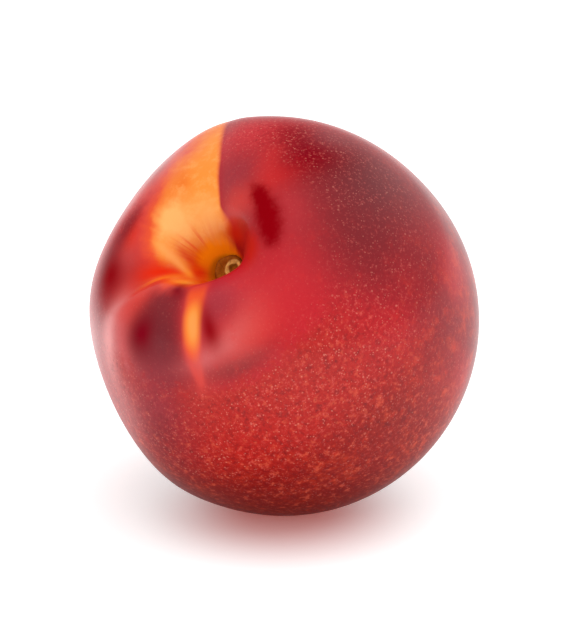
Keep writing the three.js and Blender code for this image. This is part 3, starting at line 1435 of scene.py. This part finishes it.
class SkinPaint:
    """The skin's colour, while one colour after another is laid on it.

    The irregular patterns that the colours share are noises, which lie round a half.
    """

    def __init__(self, graph: Graph, rest: Rest, wax: Wax) -> None:
        """Start from the ground colour.

        Args:
            graph: The material's graph.
            rest: Where the fruit lies in the row frame.
            wax: The wax, for the places where it is worn off.
        """
        self.graph = graph
        self.place = place = Place.on(graph, rest)
        self.polar, point = place.polar, place.point
        self.mottle = graph.noise(point, 0.5, 4.0, 0.65)
        self.patchy = graph.noise(point, 0.2, 3.0, 0.6)
        self.spots = graph.noise(point, 0.8, 2.0, 0.6)
        self.grain = graph.noise(point, 1.5, 3.0, 0.75)
        self.rays = graph.noise(place.rays(7.0, 1.0), 1.0, 3.0, 0.55)
        self.streaks = graph.noise(place.rays(11.0, 1.2), 1.0, 2.0, 0.5)
        self.fine_rays = graph.noise(place.rays(20.0, 2.0), 1.0, 3.0, 0.6)
        cloud = graph.noise(point, 0.05, 2.0, 0.5)
        self.shade = graph.blend(cloud.step(0.3, 0.7), WINE, CRIMSON)
        self.dull_spots = [(stain.on(place), stain.colour) for stain in wax.dull_spots]
        # the rim's arc: a painted dark reflection
        self.dull_spots.append((wax.rim.on(self), DEEP_RED))
        self.dull = wax.dulled(self)

    def lay(self, share: Value, colour: Colour) -> None:
        """Lay one more colour over those that are there."""
        self.shade = self.graph.blend(share, self.shade, colour)

    def stain(self, stains: tuple[Stain, ...]) -> None:
        """Lay on the soft oval of each stain, in turn."""
        for stain in stains:
            self.lay(stain.on(self.place), stain.colour)


@dataclass(frozen=True)
class StalkFinish:
    """Dry broken wood, dark at the rim and pale within, with a painted shadow round its edge;
    lengths are in millimetres.
    """

    rest: Rest
    stalk: StalkEnd
    ring_shift: float = 0.75
    ring_turn: float = 285.0
    ring_radius: float = 1.25
    ring_width: float = 0.42
    pith_radius: float = 0.6
    pith_width: float = 0.3
    ring_edge: Band = (0.3, 0.9)
    # painted shadow: the plug darkens towards its outer edge, where it meets the hollow
    edge_shade_reach: Band = (2.1, 2.9)
    edge_shade_fray: float = 0.8
    edge_shade_share: float = 0.55
    fibre_edge: Band = (0.4, 0.7)
    fibre_share: float = 0.4
    roughness: float = 0.8
    gloss: float = 0.1
    bump_depth: float = 0.2
    bump_strength: float = 0.6
    rim: Colour = linear(158, 82, 12)
    # the bark's colour, also used for the painted shadow at the plug's edge
    bark_and_shade: Colour = linear(92, 38, 4)
    wood: Colour = linear(236, 180, 96)
    pith: Colour = linear(128, 76, 8)

    def material(self) -> bpy.types.Material:
        """Make the stalk's material.

        Returns:
            The material.
        """
        made, graph = Graph.of_material("nectarine_stalk")
        place = Place.on(graph, self.rest)
        middle, aside = self.stalk.shift(), math.radians(self.ring_turn)
        ring_middle = middle + self.ring_shift * Vector((math.cos(aside), math.sin(aside), 0))
        ring_reach = place.reach(ring_middle)
        fibre = graph.noise(place.rays(7.0, 3.0), 1.0, 4.0, 0.7)
        grain = graph.noise(place.point, 2.4, 4.0, 0.7)
        ring = ring_reach.hump(self.ring_radius, self.ring_width)
        shade = graph.blend(ring.step(*self.ring_edge), self.rim, self.wood)
        shade = graph.blend(ring_reach.hump(self.pith_radius, self.pith_width), shade, self.pith)
        # painted shadow round the plug's outer edge
        edge = (place.reach(middle) + grain.swing(self.edge_shade_fray)).step(*self.edge_shade_reach)
        shade = graph.blend(edge * self.edge_shade_share, shade, self.bark_and_shade)
        fibre = fibre.step(*self.fibre_edge) * self.fibre_share
        shade = graph.blend(fibre, shade, self.bark_and_shade)
        inputs = {
            "Base Color": shade,
            "Roughness": self.roughness,
            "Specular IOR Level": self.gloss,
            "Normal": graph.bump(grain, self.bump_strength, self.bump_depth),
        }
        graph.show(Kind.SHADER, Kind.OUTPUT, inputs)
        return made


@dataclass(frozen=True)
class TableFinish:
    """A matt white light table, whose glow fades to a warm red under the fruit: a painted shadow,
    with painted red light from the fruit.
    """

    colour: Colour = (0.9, 0.9, 0.9, 1.0)
    glow: Colour = (0.38, 0.38, 0.38, 1.0)
    # painted shadow: the warm red that the glow fades to under the fruit, with painted red light
    # from it
    shadow_tint: Colour = (0.28, 0.065, 0.055, 1.0)
    # the painted shadow is centred this far in front of the fruit, in millimetres
    forward: float = 8.0
    fade: Band = (5.0, 28.0)
    roughness: float = 0.9

    def material(self) -> bpy.types.Material:
        """Make the table's material.

        Returns:
            The material.
        """
        made, graph = Graph.of_material("plain_table")
        spot = graph.node(Kind.COORDINATES).outputs["Object"]
        parts = graph.node(Kind.SEPARATE, inputs={0: spot}).outputs
        x, y = (Value(graph, parts[axis]) * (1 / MM) for axis in (0, 1))
        away = length(x, y + self.forward)
        inputs = {
            "Base Color": self.colour,
            "Roughness": self.roughness,
            "Specular IOR Level": 0.0,
            # painted shadow: the emission fades within the fade band round that centre
            "Emission Color": graph.blend(away.step(*self.fade), self.shadow_tint, self.glow),
            "Emission Strength": 1.0,
        }
        graph.show(Kind.SHADER, Kind.OUTPUT, inputs)
        return made


# ---- studio


@dataclass
class Studio:
    """The table, the light, the surroundings and the camera, in metres and degrees."""

    surroundings: float = 0.9
    table_radius: float = 4.0
    elevation: float = 20.0
    distance: float = 0.70
    frame_height: float = 0.1105
    sensor_width: float = 36.0
    light_place: tuple[float, float, float] = (0.4, -0.3, 1.6)
    light_size: float = 2.4
    light_power: float = 14.0

    def build(self, target: Vector) -> None:
        """Set everything up round the object.

        Args:
            target: The point that the camera and the light look at.
        """
        self.table()
        self.light(target)
        self.world()
        self.camera(target)

    def table(self) -> None:
        """Lay the table under the fruit."""
        mesh = bmesh.new()
        bmesh.ops.create_circle(mesh, cap_ends=True, segments=96, radius=self.table_radius)
        table = to_object(mesh, "table", TableFinish().material())

    def light(self, target: Vector) -> None:
        """Hang a large soft light that the camera doesn't see.

        Args:
            target: The point it shines at.
        """
        lamp = bpy.data.lights.new("top_light", "AREA")
        lamp.shape, lamp.size, lamp.energy = "DISK", self.light_size, self.light_power
        made = bpy.data.objects.new("top_light", lamp)
        made.location = self.light_place
        shining = target - Vector(self.light_place)
        made.rotation_euler = shining.to_track_quat("-Z", "Y").to_euler()
        made.visible_camera = False
        made.visible_glossy = False
        bpy.context.scene.collection.objects.link(made)

    def world(self) -> None:
        """Light the scene evenly from all sides."""
        world = bpy.data.worlds.new("even_white")
        world.use_nodes = True
        bpy.context.scene.world = world
        light = {"Color": (1.0, 1.0, 1.0, 1.0), "Strength": self.surroundings}
        Graph(world.node_tree).show(Kind.BACKGROUND, Kind.WORLD_OUTPUT, light)

    def camera(self, target: Vector) -> None:
        """Stand the camera in front and above.

        Args:
            target: The point it looks at.
        """
        angle = math.radians(self.elevation)
        camera = bpy.data.cameras.new("camera")
        camera.sensor_width = self.sensor_width
        camera.lens = self.sensor_width * self.distance / self.frame_height
        made = bpy.data.objects.new("camera", camera)
        away = Vector((0, -math.cos(angle), math.sin(angle)))
        made.location = target + away * self.distance
        made.rotation_euler = (-away).to_track_quat("-Z", "Y").to_euler()
        bpy.context.scene.collection.objects.link(made)
        bpy.context.scene.camera = made
        bpy.context.scene.view_settings.view_transform = "Standard"


# ---- assembly


def to_object(
    mesh: bmesh.types.BMesh, name: str, material: bpy.types.Material
) -> bpy.types.Object:
    """Turn a bmesh into a smooth object at the origin.

    Args:
        mesh: The bmesh, in metres, which is freed.
        name: The object's name.
        material: Its material.

    Returns:
        The new object, linked to the scene.
    """
    data = bpy.data.meshes.new(name)
    mesh.to_mesh(data)
    mesh.free()
    data.materials.append(material)
    data.shade_smooth()
    made = bpy.data.objects.new(name, data)
    bpy.context.scene.collection.objects.link(made)
    return made


def seat(mesh: bmesh.types.BMesh, rest: Rest) -> None:
    """Turn a mesh from the fruit's own frame into place, and press it onto the table.

    Args:
        mesh: The bmesh in the fruit's own frame, in millimetres.
        rest: Where the fruit lies in the row frame.
    """
    bmesh.ops.transform(mesh, matrix=rest.matrix(), verts=mesh.verts)
    for vertex in mesh.verts:
        vertex.co.z = max(vertex.co.z, 0.0)


def place_piece(piece: bpy.types.Object, node: str) -> None:
    """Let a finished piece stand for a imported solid.

    Args:
        piece: The piece, in place.
        node: The solid's node.
    """
    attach(piece, "root")
    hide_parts(node)
    LOG.info("%s: %d vertices", piece.name, len(piece.data.vertices))


def main() -> None:
    """Build the fruit, its stalk and the studio."""
    logging.basicConfig(level=logging.INFO, format="%(name)s: %(message)s")
    fruit = Fruit()
    skin = fruit.skin()
    rest = Rest(fruit.attitude())
    rest.settle(skin, fruit.flat_depth)
    seat(skin, rest)
    finish = SkinFinish(rest, fruit.creases[SUTURE], fruit.creases[FRONT_CREASE])
    piece = to_object(skin, "nectarine_skin", finish.material())
    place_piece(piece, "fruit")

    stalk = StalkEnd()
    foot = fruit.radius(0, 0) - stalk.sunk
    plug = stalk.plug(foot)
    seat(plug, rest)
    piece = to_object(plug, "stalk_end_wood", StalkFinish(rest, stalk).material())
    place_piece(piece, "stalk_end")

    low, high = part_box("fruit")
    Studio().build((low + high) / 2)


if __name__ == "__main__":
    main()
